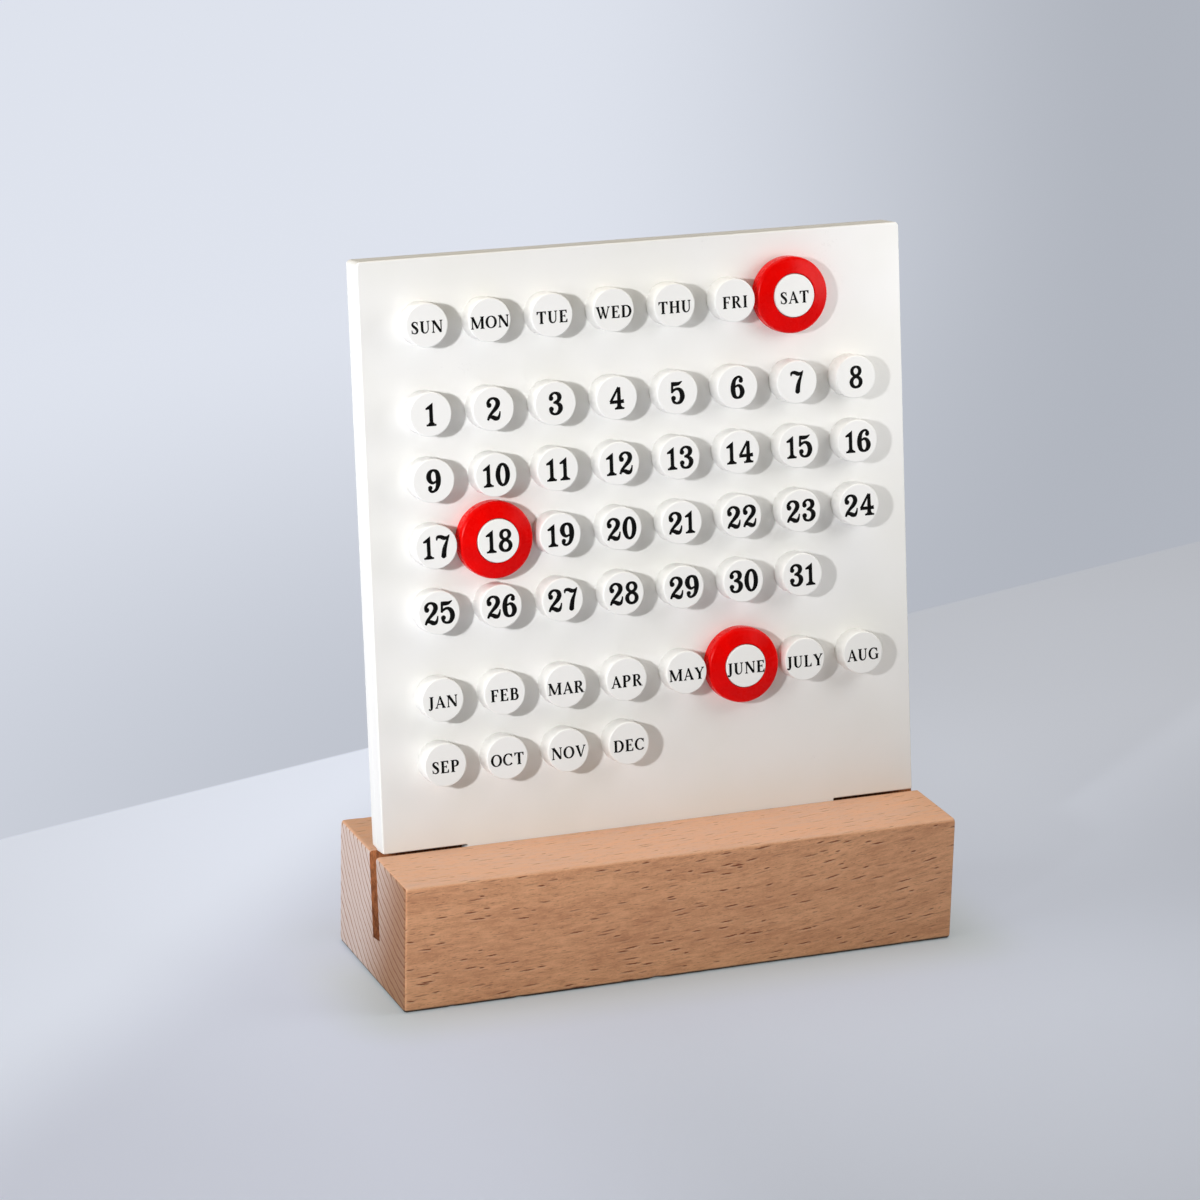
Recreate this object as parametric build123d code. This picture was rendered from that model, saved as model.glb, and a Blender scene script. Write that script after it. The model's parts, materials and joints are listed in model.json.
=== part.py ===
from build123d import *
from math import cos, radians, sin
import os

# Perpetual desk calendar, in millimetres.
#
# A beech block carries a white panel that leans back in a slot. Fifty pegs stand out of the
# panel's face: the weekdays in the top row, the dates in four rows, the months in two. Three
# loose rings slip over a peg each, to mark the day, the date and the month.
#
# Frame: +X to the right, +Y to the back, +Z up, origin at the middle of the block's underside.

# ---------------------------------------------------------------- block
block_length = 150.0
block_depth = 50.0
block_height = 33.2
block_ease = 1.3  # radius on every arris

# ---------------------------------------------------------------- slot
lean_angle = 8.75  # degrees that the panel leans back from upright
slot_setback = 22.0  # from the block's front to the slot's front wall, at the top
slot_depth = 21.5  # down the leaning wall
slot_clearance = 0.1  # each side of the tongue

# ---------------------------------------------------------------- panel
panel_width = 146.0
panel_height = 148.3  # from the shoulders to the top edge
front_sheet = 4.8
back_sheet = 3.5
panel_corner = 1.2
panel_ease = 0.4  # bevel round the panel's front and back faces
tongue_width = 101.0
tongue_corner = 2.0  # lower corners of the tongue
shoulder_relief = 0.4  # radius where the tongue meets the shoulders
shoulder_gap = 0.5  # shoulders above the block, along the lean
heel_clearance = 0.1  # back sheet above the block
foot_gap = 0.05  # tongue above the slot's floor

# ---------------------------------------------------------------- pegs
peg_diameter = 11.0
peg_height = 5.5  # out of the panel's face
peg_ease = 0.3
peg_sides = 28  # flats round a peg: close to round, and light fifty times over
columns = 8
column_pitch = 16.4
row_pitch = 16.5
group_pitch = 22.0  # from days to dates, and from dates to months
top_margin = 16.1  # from the panel's top edge to the row of days

# ---------------------------------------------------------------- rings
ring_diameter = 19.5
ring_thickness = 5.4
ring_ease = 0.6  # outer arrises
bore_ease = 0.2  # arrises of the bore
ring_fit = 0.15  # bore over peg, radial
ring_gap = 0.05  # behind a seated ring

# ---------------------------------------------------------------- places that follow
lean = radians(lean_angle)
slot_width = front_sheet + 2 * slot_clearance
slot_mouth_y = slot_setback - block_depth / 2
tongue_foot = foot_gap - slot_depth
panel_top = shoulder_gap + panel_height
# The back sheet hangs over the block, so its foot is cut higher than the shoulders.
back_foot = ((front_sheet + back_sheet) * sin(lean) + heel_clearance) / cos(lean)

# Panel frame: x to the right, y up the lean, z out of the panel's face. Its origin lies
# where the panel's face meets the top of the block.
panel_frame = Plane(
    origin=(0, slot_mouth_y + slot_clearance / cos(lean), block_height),
    x_dir=(1, 0, 0),
    z_dir=(0, -cos(lean), sin(lean)),
)

day_names = ["sun", "mon", "tue", "wed", "thu", "fri", "sat"]
date_names = [f"{date:02d}" for date in range(1, 32)]
month_names = ["jan", "feb", "mar", "apr", "may", "jun", "jul", "aug", "sep", "oct", "nov", "dec"]

marked_pegs = {"ring_day": "sat", "ring_date": "18", "ring_month": "jun"}


def row_count(names):
    """Rows that a group of names fills."""
    return -(-len(names) // columns)


def peg_places():
    """Each peg's name and its place in the panel frame, row by row from the top."""
    places = {}
    height = panel_top - top_margin
    for group in (day_names, date_names, month_names):
        for index, name in enumerate(group):
            row, column = divmod(index, columns)
            x = (column - (columns - 1) / 2) * column_pitch
            places[name] = (x, height - row * row_pitch)
        height -= (row_count(group) - 1) * row_pitch + group_pitch
    return places


def wood_base():
    """Solid block, eased all round, with the leaning slot cut through its length."""
    block = Box(block_length, block_depth, block_height, align=(Align.CENTER, Align.CENTER, Align.MIN))
    block = fillet(block.edges(), block_ease)
    # The cutter runs past both ends and far enough above the block to clear its top.
    overrun = block_height
    cutter = Box(
        block_length + 2 * overrun,
        slot_depth + overrun,
        slot_width,
        align=(Align.CENTER, Align.MIN, Align.MAX),
    )
    return block - panel_frame * Pos(0, -slot_depth, slot_clearance) * cutter


def sheet_outline(foot):
    """Rounded rectangle of a sheet, from its foot to the panel's top edge."""
    height = panel_top - foot
    return Pos(0, foot + height / 2) * RectangleRounded(panel_width, height, panel_corner)


def front_panel():
    """Front sheet, with the shouldered tongue that stands in the slot."""
    # The tongue laps into the sheet by its corner radius, so that only its lower corners show.
    tongue_height = shoulder_gap + tongue_corner - tongue_foot
    tongue = RectangleRounded(tongue_width, tongue_height, tongue_corner)
    face = sheet_outline(shoulder_gap) + Pos(0, tongue_foot + tongue_height / 2) * tongue
    inner_corners = [
        face.vertices().sort_by_distance((side * tongue_width / 2, shoulder_gap))[0]
        for side in (-1, 1)
    ]
    face = fillet(inner_corners, shoulder_relief)
    sheet = extrude(face, amount=-front_sheet)
    front_rim = sheet.faces().sort_by(Axis.Z)[-1].outer_wire().edges()
    return panel_frame * chamfer(front_rim, panel_ease)


def back_panel():
    """Back sheet, glued behind the front one to stiffen it."""
    sheet = Pos(0, 0, -front_sheet) * extrude(sheet_outline(back_foot), amount=-back_sheet)
    back_rim = sheet.faces().sort_by(Axis.Z)[0].outer_wire().edges()
    return panel_frame * chamfer(back_rim, panel_ease)


def peg():
    """Peg with an eased tip, its foot in the panel's face."""
    rod = extrude(RegularPolygon(peg_diameter / 2, peg_sides), amount=peg_height)
    tip = rod.faces().sort_by(Axis.Z)[-1]
    return chamfer(tip.edges(), peg_ease)


def ring():
    """Turned ring that slips over any peg, its back just off the panel's face."""
    bore = peg_diameter / 2 + ring_fit
    wall = ring_diameter / 2 - bore
    section = Rectangle(wall, ring_thickness, align=(Align.MIN, Align.MIN))
    section = chamfer(section.vertices().group_by(Axis.X)[-1], ring_ease)
    section = chamfer(section.vertices().group_by(Axis.X)[0], bore_ease)
    return Pos(0, 0, ring_gap) * revolve(Plane.XZ * Pos(bore, 0) * section, Axis.Z)


def build():
    """Every piece of the calendar by its node name."""
    pieces = {
        "wood_base": wood_base(),
        "front_panel": front_panel(),
        "back_panel": back_panel(),
    }
    places = peg_places()
    one_peg = peg()
    for name, (x, y) in places.items():
        pieces[f"peg_{name}"] = panel_frame * Pos(x, y) * one_peg
    one_ring = ring()
    for name, marked in marked_pegs.items():
        x, y = places[marked]
        pieces[name] = panel_frame * Pos(x, y) * one_ring
    return pieces


os.makedirs("parts", exist_ok=True)
for node, piece in build().items():
    export_step(piece, f"parts/{node}.step")
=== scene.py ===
"""Dresses the perpetual desk calendar.

A beech block carries a white panel that leans back in a slot. Fifty pegs stand out of the panel,
printed with the weekdays, the dates and the months, and three red rings mark a peg each.

Lengths are in millimetres throughout, and a mesh is turned into metres when it is finished. Most
pieces are drawn in the panel's own frame: x to the right, y up the lean and z out of the face.
"""

import json
import logging
import math
import random
from dataclasses import dataclass, field
from enum import Enum
from typing import Any, Mapping, Sequence, Union

import bmesh
import bpy
from mathutils import Matrix, Vector, geometry, noise

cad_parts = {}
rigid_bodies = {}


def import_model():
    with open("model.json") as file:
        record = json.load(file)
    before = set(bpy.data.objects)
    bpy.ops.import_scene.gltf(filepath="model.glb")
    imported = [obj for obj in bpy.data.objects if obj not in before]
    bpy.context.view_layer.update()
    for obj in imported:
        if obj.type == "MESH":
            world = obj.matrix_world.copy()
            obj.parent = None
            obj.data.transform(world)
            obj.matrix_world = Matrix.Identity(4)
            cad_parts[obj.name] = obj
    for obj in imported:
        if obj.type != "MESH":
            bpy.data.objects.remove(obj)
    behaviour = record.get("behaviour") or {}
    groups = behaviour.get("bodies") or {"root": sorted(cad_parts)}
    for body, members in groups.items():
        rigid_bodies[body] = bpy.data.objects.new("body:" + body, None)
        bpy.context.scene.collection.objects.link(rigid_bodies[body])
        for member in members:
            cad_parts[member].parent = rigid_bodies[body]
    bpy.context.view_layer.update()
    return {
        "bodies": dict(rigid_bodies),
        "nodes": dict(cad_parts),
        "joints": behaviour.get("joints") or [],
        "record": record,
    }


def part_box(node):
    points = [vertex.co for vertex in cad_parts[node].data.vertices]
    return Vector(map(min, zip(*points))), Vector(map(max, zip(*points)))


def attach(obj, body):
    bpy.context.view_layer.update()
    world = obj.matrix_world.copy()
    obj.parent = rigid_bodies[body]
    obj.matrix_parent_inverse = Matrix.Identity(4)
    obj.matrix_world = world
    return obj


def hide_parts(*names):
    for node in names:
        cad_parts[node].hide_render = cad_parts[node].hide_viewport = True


log = logging.getLogger("calendar")

MM = 0.001
PER_METRE = 1000.0

Colour = tuple[float, float, float, float]
Point = tuple[float, float]
Place = tuple[float, float, float]


def srgb(red: int, green: int, blue: int) -> Colour:
    """Turns a colour as a screen shows it into the linear colour that a shader takes.

    Args:
        red: Red, from 0 to 255.
        green: Green, from 0 to 255.
        blue: Blue, from 0 to 255.

    Returns:
        The linear colour, opaque.
    """
    shares = (channel / 255 for channel in (red, green, blue))
    linear = [s / 12.92 if s <= 0.04045 else ((s + 0.055) / 1.055) ** 2.4 for s in shares]
    return (linear[0], linear[1], linear[2], 1.0)


# ------------------------------------------------------------------------------------ node trees


class Socket:
    """A node's output that takes part in arithmetic: each operator adds the node that works it out."""

    def __init__(self, graph: "Graph", source: bpy.types.NodeSocket) -> None:
        """Wraps an output of a node in a graph."""
        self.graph = graph
        self.source = source

    def math(self, operation: str, *operands: "Operand") -> "Socket":
        """Adds a Math node.

        Args:
            operation: The Math node's operation.
            operands: What goes into its sockets, in order.

        Returns:
            The node's result.
        """
        made = self.graph.node("ShaderNodeMath", {"operation": operation}, dict(enumerate(operands)))
        return self.graph.out(made)

    def __add__(self, other: "Operand") -> "Socket":
        """Adds."""
        return self.math("ADD", self, other)

    __radd__ = __add__

    def __sub__(self, other: "Operand") -> "Socket":
        """Takes away."""
        return self.math("SUBTRACT", self, other)

    def __rsub__(self, other: "Operand") -> "Socket":
        """Takes this away from a number."""
        return self.math("SUBTRACT", other, self)

    def __mul__(self, other: "Operand") -> "Socket":
        """Multiplies."""
        return self.math("MULTIPLY", self, other)

    __rmul__ = __mul__

    def __truediv__(self, other: "Operand") -> "Socket":
        """Divides."""
        return self.math("DIVIDE", self, other)

    def __abs__(self) -> "Socket":
        """Drops the sign."""
        return self.math("ABSOLUTE", self)

    def least(self, other: "Operand") -> "Socket":
        """Gives the smaller of the two."""
        return self.math("MINIMUM", self, other)

    def most(self, other: "Operand") -> "Socket":
        """Gives the larger of the two."""
        return self.math("MAXIMUM", self, other)

    def fraction(self) -> "Socket":
        """Gives the part after the decimal point."""
        return self.math("FRACT", self)

    def ramp(self, low: float, high: float, start: "Operand" = 0.0, end: "Operand" = 1.0) -> "Socket":
        """Eases from one value to another as this one passes from low to high.

        Args:
            low: Where the change starts.
            high: Where it ends.
            start: The result below low.
            end: The result above high.

        Returns:
            The eased value.
        """
        sockets = {"Value": self, "From Min": low, "From Max": high, "To Min": start, "To Max": end}
        made = self.graph.node("ShaderNodeMapRange", {"interpolation_type": "SMOOTHSTEP"}, sockets)
        return self.graph.out(made)

    def fall(self, low: float, high: float) -> "Socket":
        """Eases from 1 to 0 as this value passes from low to high."""
        return self.ramp(low, high, 1.0, 0.0)

    def band(self, rise: Point, fall: Point) -> "Socket":
        """Eases from 0 to 1 over one stretch of this value, and back over a later one."""
        return self.ramp(*rise) * self.fall(*fall)


Operand = Union[Socket, float]


class Graph:
    """A node tree that is built from a script."""

    def __init__(self, tree: bpy.types.NodeTree) -> None:
        """Takes an empty tree to fill."""
        self.tree = tree

    def node(
        self, kind: str, settings: Mapping[str, Any] = {}, sockets: Mapping[Any, Any] = {}
    ) -> bpy.types.Node:
        """Adds a node.

        Args:
            kind: The node's type.
            settings: Its own settings, which are set first.
            sockets: Values or links for its inputs, by name or number.

        Returns:
            The node.
        """
        made = self.tree.nodes.new(kind)
        for name, value in settings.items():
            setattr(made, name, value)
        for key, value in sockets.items():
            if isinstance(value, Socket):
                self.tree.links.new(value.source, made.inputs[key])
            else:
                made.inputs[key].default_value = value
        return made

    def out(self, node: bpy.types.Node, output: Union[int, str] = 0) -> Socket:
        """Wraps one of a node's outputs."""
        return Socket(self, node.outputs[output])

    def combine(self, x: Operand = 0.0, y: Operand = 0.0, z: Operand = 0.0) -> Socket:
        """Makes a vector of three numbers."""
        return self.out(self.node("ShaderNodeCombineXYZ", {}, {"X": x, "Y": y, "Z": z}))

    def split(self, vector: Socket) -> tuple[Socket, Socket, Socket]:
        """Takes a vector apart into three numbers."""
        parts = self.node("ShaderNodeSeparateXYZ", {}, {"Vector": vector})
        return self.out(parts, "X"), self.out(parts, "Y"), self.out(parts, "Z")

    def minus(self, first: Socket, second: Socket) -> Socket:
        """Takes one vector away from another."""
        made = self.node("ShaderNodeVectorMath", {"operation": "SUBTRACT"}, {0: first, 1: second})
        return self.out(made)

    def length(self, x: Operand = 0.0, y: Operand = 0.0, z: Operand = 0.0) -> Socket:
        """Gives the length of a vector of three numbers."""
        made = self.node("ShaderNodeVectorMath", {"operation": "LENGTH"}, {0: self.combine(x, y, z)})
        return self.out(made, "Value")


class Shader(Graph):
    """A material's nodes, with the places, noises and mixes that the finishes share."""

    def __init__(self, name: str) -> None:
        """Makes an empty material.

        Args:
            name: The material's name.
        """
        self.material = bpy.data.materials.new(name)
        self.material.use_nodes = True
        self.material.node_tree.nodes.clear()
        super().__init__(self.material.node_tree)
        metres = self.out(self.node("ShaderNodeTexCoord"), "Object")
        scale = (PER_METRE, PER_METRE, PER_METRE)
        self.place = self.out(self.node("ShaderNodeMapping", {}, {"Vector": metres, "Scale": scale}))

    def noise(self, at: Socket, scale: float = 1.0, detail: float = 2.0, rough: float = 0.5) -> Socket:
        """Adds a noise.

        Args:
            at: The place, whose scale is that of the noise's cells.
            scale: Cells in each unit of the place.
            detail: Finer noises on top.
            rough: How strong the finer ones are.

        Returns:
            The noise, from 0 to 1 and mostly near a half.
        """
        sockets = {"Vector": at, "Scale": scale, "Detail": detail, "Roughness": rough}
        return self.out(self.node("ShaderNodeTexNoise", {}, sockets), "Fac")

    def streaks(
        self, along: Socket, across: Socket, fineness: Point, detail: float = 2.0, rough: float = 0.5
    ) -> Socket:
        """Adds a noise that is drawn out along the grain.

        Args:
            along: The place along the grain.
            across: The place across the grain.
            fineness: Cells in a millimetre, along and across.
            detail: Finer noises on top.
            rough: How strong the finer ones are.

        Returns:
            The noise, from 0 to 1 and mostly near a half.
        """
        return self.noise(self.combine(along * fineness[0], across * fineness[1]), 1.0, detail, rough)

    def mix(self, share: Operand, below: Any, above: Any, blend: str = "MIX") -> Socket:
        """Mixes two colours.

        Args:
            share: How much of the second shows.
            below: The first colour.
            above: The second colour.
            blend: The way that they mix.

        Returns:
            The mixed colour.
        """
        settings = {"data_type": "RGBA", "blend_type": blend}
        made = self.node("ShaderNodeMix", settings, {"Factor": share, 6: below, 7: above})
        return self.out(made, 2)

    def bump(self, height: Socket, depth: float, strength: float = 1.0) -> Socket:
        """Turns a height from 0 to 1 into a normal, for a relief so many millimetres deep."""
        sockets = {"Height": height, "Distance": depth * MM, "Strength": strength}
        return self.out(self.node("ShaderNodeBump", {}, sockets))

    def finish(self, **sockets: Any) -> bpy.types.Material:
        """Ends the tree in a Principled shader.

        Args:
            sockets: The shader's inputs, with _ for the spaces in their names.

        Returns:
            The material.
        """
        named = {name.replace("_", " "): value for name, value in sockets.items()}
        shader = self.node("ShaderNodeBsdfPrincipled", {}, named)
        self.node("ShaderNodeOutputMaterial", {}, {"Surface": self.out(shader)})
        return self.material


# -------------------------------------------------------------------------------------- finishes


class Wood(Enum):
    """The faces of the block, which were cut in different ways."""

    PLANED = "planed"
    SAWN = "sawn"


@dataclass(frozen=True)
class BeechFinish:
    """Sanded beech: growth rings across the ends, and dark ray flecks along the grain."""

    pale: Colour = srgb(246, 185, 138)
    warm: Colour = srgb(214, 151, 109)
    # The top's colour: painted light and sheen, which make the top face paler than the sides.
    top: Colour = srgb(206, 177, 163)
    fleck: Colour = srgb(134, 66, 28)
    # Pale wear on the arrises, and the painted highlight under each fleck.
    worn: Colour = srgb(240, 192, 152)
    # The end behind the slot, paler by painted light.
    end_back: Colour = srgb(217, 200, 192)
    end_front: Colour = srgb(171, 126, 90)
    end_line: Colour = srgb(198, 156, 126)  # what a growth ring's edge keeps of the light
    # Painted shade along the bottom rounding, where the block meets the table.
    grime: Colour = srgb(26, 14, 9)
    scorched: Colour = srgb(208, 132, 82)
    # Charred wood, and the painted shade inside the slot.
    charred: Colour = srgb(104, 56, 30)
    ring_pitch: float = 2.5
    pith: Point = (-38.0, 70.0)  # in y and z, where the growth rings have their middle
    grain_start: float = -75.0  # where along the block the grain starts to turn up
    grain_rise: float = 0.00045  # how fast it turns up from there
    grain_drift: float = 3.0  # how far it wanders up and down
    fleck_pitch: Point = (6.9, 2.0)
    fleck_half: Point = (2.1, 0.24)
    fleck_reach: Point = (0.4, 1.3)  # the shortest and the longest fleck, against the half length
    fleck_tilt: float = 0.12
    fleck_ragged: float = 0.3
    lip_below: float = 1.3  # how far a fleck's painted highlight lies under it, in half widths
    pore_size: float = 0.45  # a pore against a fleck
    pore_shift: Point = (31.7, 4.9)  # keeps the pores off the flecks
    top_tint: float = 0.85  # how much of the painted paler top shows, for light and sheen from above
    grime_height: Point = (0.5, 1.0)
    relief: float = 0.08
    saw_relief: float = 0.08

    def material(self, cut: Wood) -> bpy.types.Material:
        """Makes the finish for faces cut one way.

        Args:
            cut: Planed faces or the sawn slot.

        Returns:
            The material.
        """
        s = Shader(f"beech {cut.value}")
        return self._planed(s) if cut is Wood.PLANED else self._sawn(s)

    def _flecks(self, s: Shader, along: Socket, across: Socket, size: float) -> tuple[Socket, Socket]:
        """Scatters short dashes along the grain.

        Args:
            s: The shader.
            along: Place along the grain.
            across: Place across the grain.
            size: Size of the dashes against the full ones.

        Returns:
            A mask that is 1 in a dash, and one for the painted highlight under it.
        """
        pitch_x, pitch_y = (size * pitch for pitch in self.fleck_pitch)
        half_x, half_y = (size * half for half in self.fleck_half)
        cell = s.combine(along / pitch_x, across / pitch_y)
        sockets = {"Vector": cell, "Scale": 1.0}
        voronoi = s.node("ShaderNodeTexVoronoi", {"voronoi_dimensions": "2D"}, sockets)
        off_x, off_y, _ = s.split(s.minus(cell, s.out(voronoi, "Position")))
        luck = s.node("ShaderNodeSeparateColor", {}, {0: s.out(voronoi, "Color")})
        reach = s.out(luck, "Red").ramp(0.0, 1.0, *self.fleck_reach) * half_x
        tilt = (s.out(luck, "Green") - 0.5) * self.fleck_tilt
        ragged = (s.streaks(along, across, (1.1, 1.6)) - 0.5) * (self.fleck_ragged * size)
        dx = off_x * pitch_x
        dy = off_y * pitch_y + dx * tilt + ragged
        there = s.out(luck, "Blue").ramp(0.15, 0.8)
        core = s.length(dx / reach, dy / half_y)
        highlight = s.length(dx / reach, dy / half_y + self.lip_below)
        return core.fall(0.35, 1.05) * there, highlight.fall(0.4, 1.5) * there

    def _facing(self, s: Shader) -> tuple[Socket, Socket, Socket]:
        """Tells the ends, the top and the underside of the block from its other faces.

        Args:
            s: The shader.

        Returns:
            The share that faces an end, the share that faces up and the share that faces down.
        """
        sideways, _, upwards = s.split(s.out(s.node("ShaderNodeTexCoord"), "Normal"))
        end_share = abs(sideways).ramp(0.62, 0.8)
        return end_share, upwards.ramp(0.3, 0.95), upwards.fall(-0.99, -0.9)

    def _ends(self, s: Shader, y: Socket, z: Socket) -> tuple[Socket, Socket]:
        """Draws the growth rings across the ends.

        Args:
            s: The shader.
            y: Place from front to back.
            z: Height.

        Returns:
            Their colour and their relief.
        """
        pith_y, pith_z = self.pith
        radius = s.length(0.0, y - pith_y, z - pith_z)
        wander = (s.noise(s.combine(0.0, y * 0.1, z * 0.07), detail=3.0) - 0.5) * 1.1
        ring = (radius / self.ring_pitch + wander).fraction()
        speck = s.noise(s.combine(0.0, y * 2.4, z * 1.5), rough=0.7)
        line = ring.band((0.5, 0.78), (0.82, 0.98))
        faint = ring.band((0.16, 0.28), (0.3, 0.42))
        # Painted light: the end grain turns paler towards the back.
        ground = s.mix((y + z * 0.35).ramp(-14.0, 14.0), self.end_front, self.end_back)
        share = (line + faint * 0.35) * speck.ramp(0.25, 0.6, 0.55, 1.0)
        return s.mix(share, ground, self.end_line, "MULTIPLY"), line * -0.4 + speck * 0.4

    def _planed(self, s: Shader) -> bpy.types.Material:
        """Makes the planed and sanded faces.

        Args:
            s: The shader.

        Returns:
            The material.
        """
        x, y, z = s.split(s.place)
        end_share, top_share, under_share = self._facing(s)
        run = x - self.grain_start
        drift = s.noise(s.combine(x * 0.015, y * 0.06, z * 0.06))
        across = y + z - run * run * self.grain_rise + drift * self.grain_drift

        fibre = s.streaks(x, across, (0.3, 3.2), detail=3.0, rough=0.6)
        cloud = s.streaks(x, across, (0.035, 0.16), detail=3.0, rough=0.55)
        grit = s.streaks(x, across, (1.3, 2.6), rough=0.7)
        lumps = s.streaks(x, across, (0.2, 0.9), rough=0.6)
        tone = (cloud - 0.5) * 1.3 + (lumps - 0.5) * 1.2 + (fibre - 0.5) * 0.7 + (grit - 0.5) * 0.8 + 0.5
        colour = s.mix(tone.ramp(0.0, 1.0), self.warm, self.pale)
        # Painted light: faces that look up take the paler top colour, for the light and sheen that fall on
        # them.
        painted_top_light = s.mix(tone.ramp(-0.7, 1.7), self.pale, self.top)
        colour = s.mix(top_share * self.top_tint, colour, painted_top_light)

        flecks, fleck_highlights = self._flecks(s, x, across, 1.0)
        shift_x, shift_y = self.pore_shift
        pores, _ = self._flecks(s, x + shift_x, across + shift_y, self.pore_size)
        vein = abs(s.streaks(x, across, (0.06, 0.8), detail=4.0) - 0.5).fall(0.0, 0.012)
        marks = flecks.most(pores * 0.5).most(vein * 0.3) * (1 - top_share * 0.4)
        # Painted highlight: a pale line under each fleck.
        colour = s.mix(fleck_highlights * 0.5, colour, self.worn)
        colour = s.mix(marks, colour, self.fleck)
        wear = s.out(s.node("ShaderNodeAttribute", {"attribute_name": "wear"}), "Fac")
        colour = s.mix(wear * 0.35 * grit.ramp(0.3, 0.7), colour, self.worn)

        end_colour, end_relief = self._ends(s, y, z)
        colour = s.mix(end_share, colour, end_colour)
        # Painted contact shade: darker along the bottom rounding, except on the underside.
        low = z.fall(*self.grime_height) * (1 - under_share)
        colour = s.mix(low, colour, self.grime)
        side_relief = lumps * 0.8 + fibre * 0.35 + grit * 0.4 - marks
        relief = side_relief * (1 - end_share) + end_relief * end_share
        return s.finish(
            Base_Color=colour,
            Roughness=fibre.ramp(0.2, 0.8, 0.48, 0.62),
            Normal=s.bump(relief, self.relief, 0.7),
            IOR=1.5,
        )

    def _sawn(self, s: Shader) -> bpy.types.Material:
        """Makes the slot's walls, browned by the saw, darker deeper down, with painted shade away from the
        block's ends.

        Args:
            s: The shader.

        Returns:
            The material.
        """
        x, _, z = s.split(s.place)
        strokes = s.streaks(x, z, (1.6, 0.35), detail=4.0, rough=0.65)
        specks = s.noise(s.place, scale=5.0, detail=1.0)
        # Darker deeper in the slot, and painted shade away from the ends, where the panel covers the slot.
        deep = z.ramp(12.0, 26.0, 0.6, 0.1) + abs(x).ramp(66.0, 74.0, 0.8, 0.0)
        burn_and_shade = strokes.ramp(0.42, 0.62) * 0.5 + deep * 0.6 + specks.ramp(0.5, 0.75) * 0.3
        colour = s.mix(burn_and_shade.least(1.0), self.scorched, self.charred)
        return s.finish(Base_Color=colour, Roughness=0.85, Normal=s.bump(strokes, self.saw_relief))


@dataclass(frozen=True)
class AcrylicFinish:
    """White sheet and rod, with the faint clouding of cast acrylic."""

    name: str
    white: Colour
    shade: Colour
    rough: float
    ripple: float = 0.004  # how deep the surface ripples

    def material(self) -> bpy.types.Material:
        """Makes the finish.

        Returns:
            The material.
        """
        s = Shader(self.name)
        cloud = s.noise(s.place, scale=0.035, detail=3.0)
        dust = s.noise(s.place, scale=1.4, detail=2.0, rough=0.7)
        ripples = s.noise(s.place, scale=0.6, detail=1.0)
        return s.finish(
            Base_Color=s.mix(cloud.ramp(0.3, 0.7), self.white, self.shade),
            Roughness=(cloud + dust * 0.5).ramp(0.4, 1.1, self.rough - 0.05, self.rough + 0.08),
            Normal=s.bump(ripples, self.ripple, 0.5),
            IOR=1.49,
        )


@dataclass(frozen=True)
class InkFinish:
    """Black screen ink, a little uneven in its cover."""

    black: Colour = srgb(3, 3, 3)
    thin: Colour = srgb(16, 15, 15)
    relief: float = 0.006
    sheen: float = 0.1

    def material(self) -> bpy.types.Material:
        """Makes the finish.

        Returns:
            The material.
        """
        s = Shader("black ink")
        cover = s.noise(s.place, scale=3.0, detail=3.0, rough=0.65)
        colour = s.mix(cover.ramp(0.45, 0.75), self.black, self.thin)
        return s.finish(
            Base_Color=colour,
            Roughness=cover.ramp(0.3, 0.7, 0.5, 0.65),
            Normal=s.bump(cover, self.relief, 0.5),
            Specular_IOR_Level=self.sheen,
        )


@dataclass(frozen=True)
class RingFinish:
    """Glossy red plastic, coloured all through."""

    red: Colour = srgb(233, 3, 1)
    deep: Colour = srgb(222, 2, 1)
    relief: float = 0.006
    sheen: float = 0.1

    def material(self) -> bpy.types.Material:
        """Makes the finish.

        Returns:
            The material.
        """
        s = Shader("red plastic")
        flow = s.noise(s.place, scale=0.22, detail=2.0)
        scuff = s.noise(s.place, scale=0.7, detail=2.0)
        colour = s.mix(flow.ramp(0.3, 0.7), self.red, self.deep)
        return s.finish(
            Base_Color=colour,
            Roughness=(flow * 0.3 + scuff * 0.7).ramp(0.35, 0.7, 0.24, 0.34),
            Normal=s.bump(flow, self.relief, 0.3),
            Specular_IOR_Level=self.sheen,
        )


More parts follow.
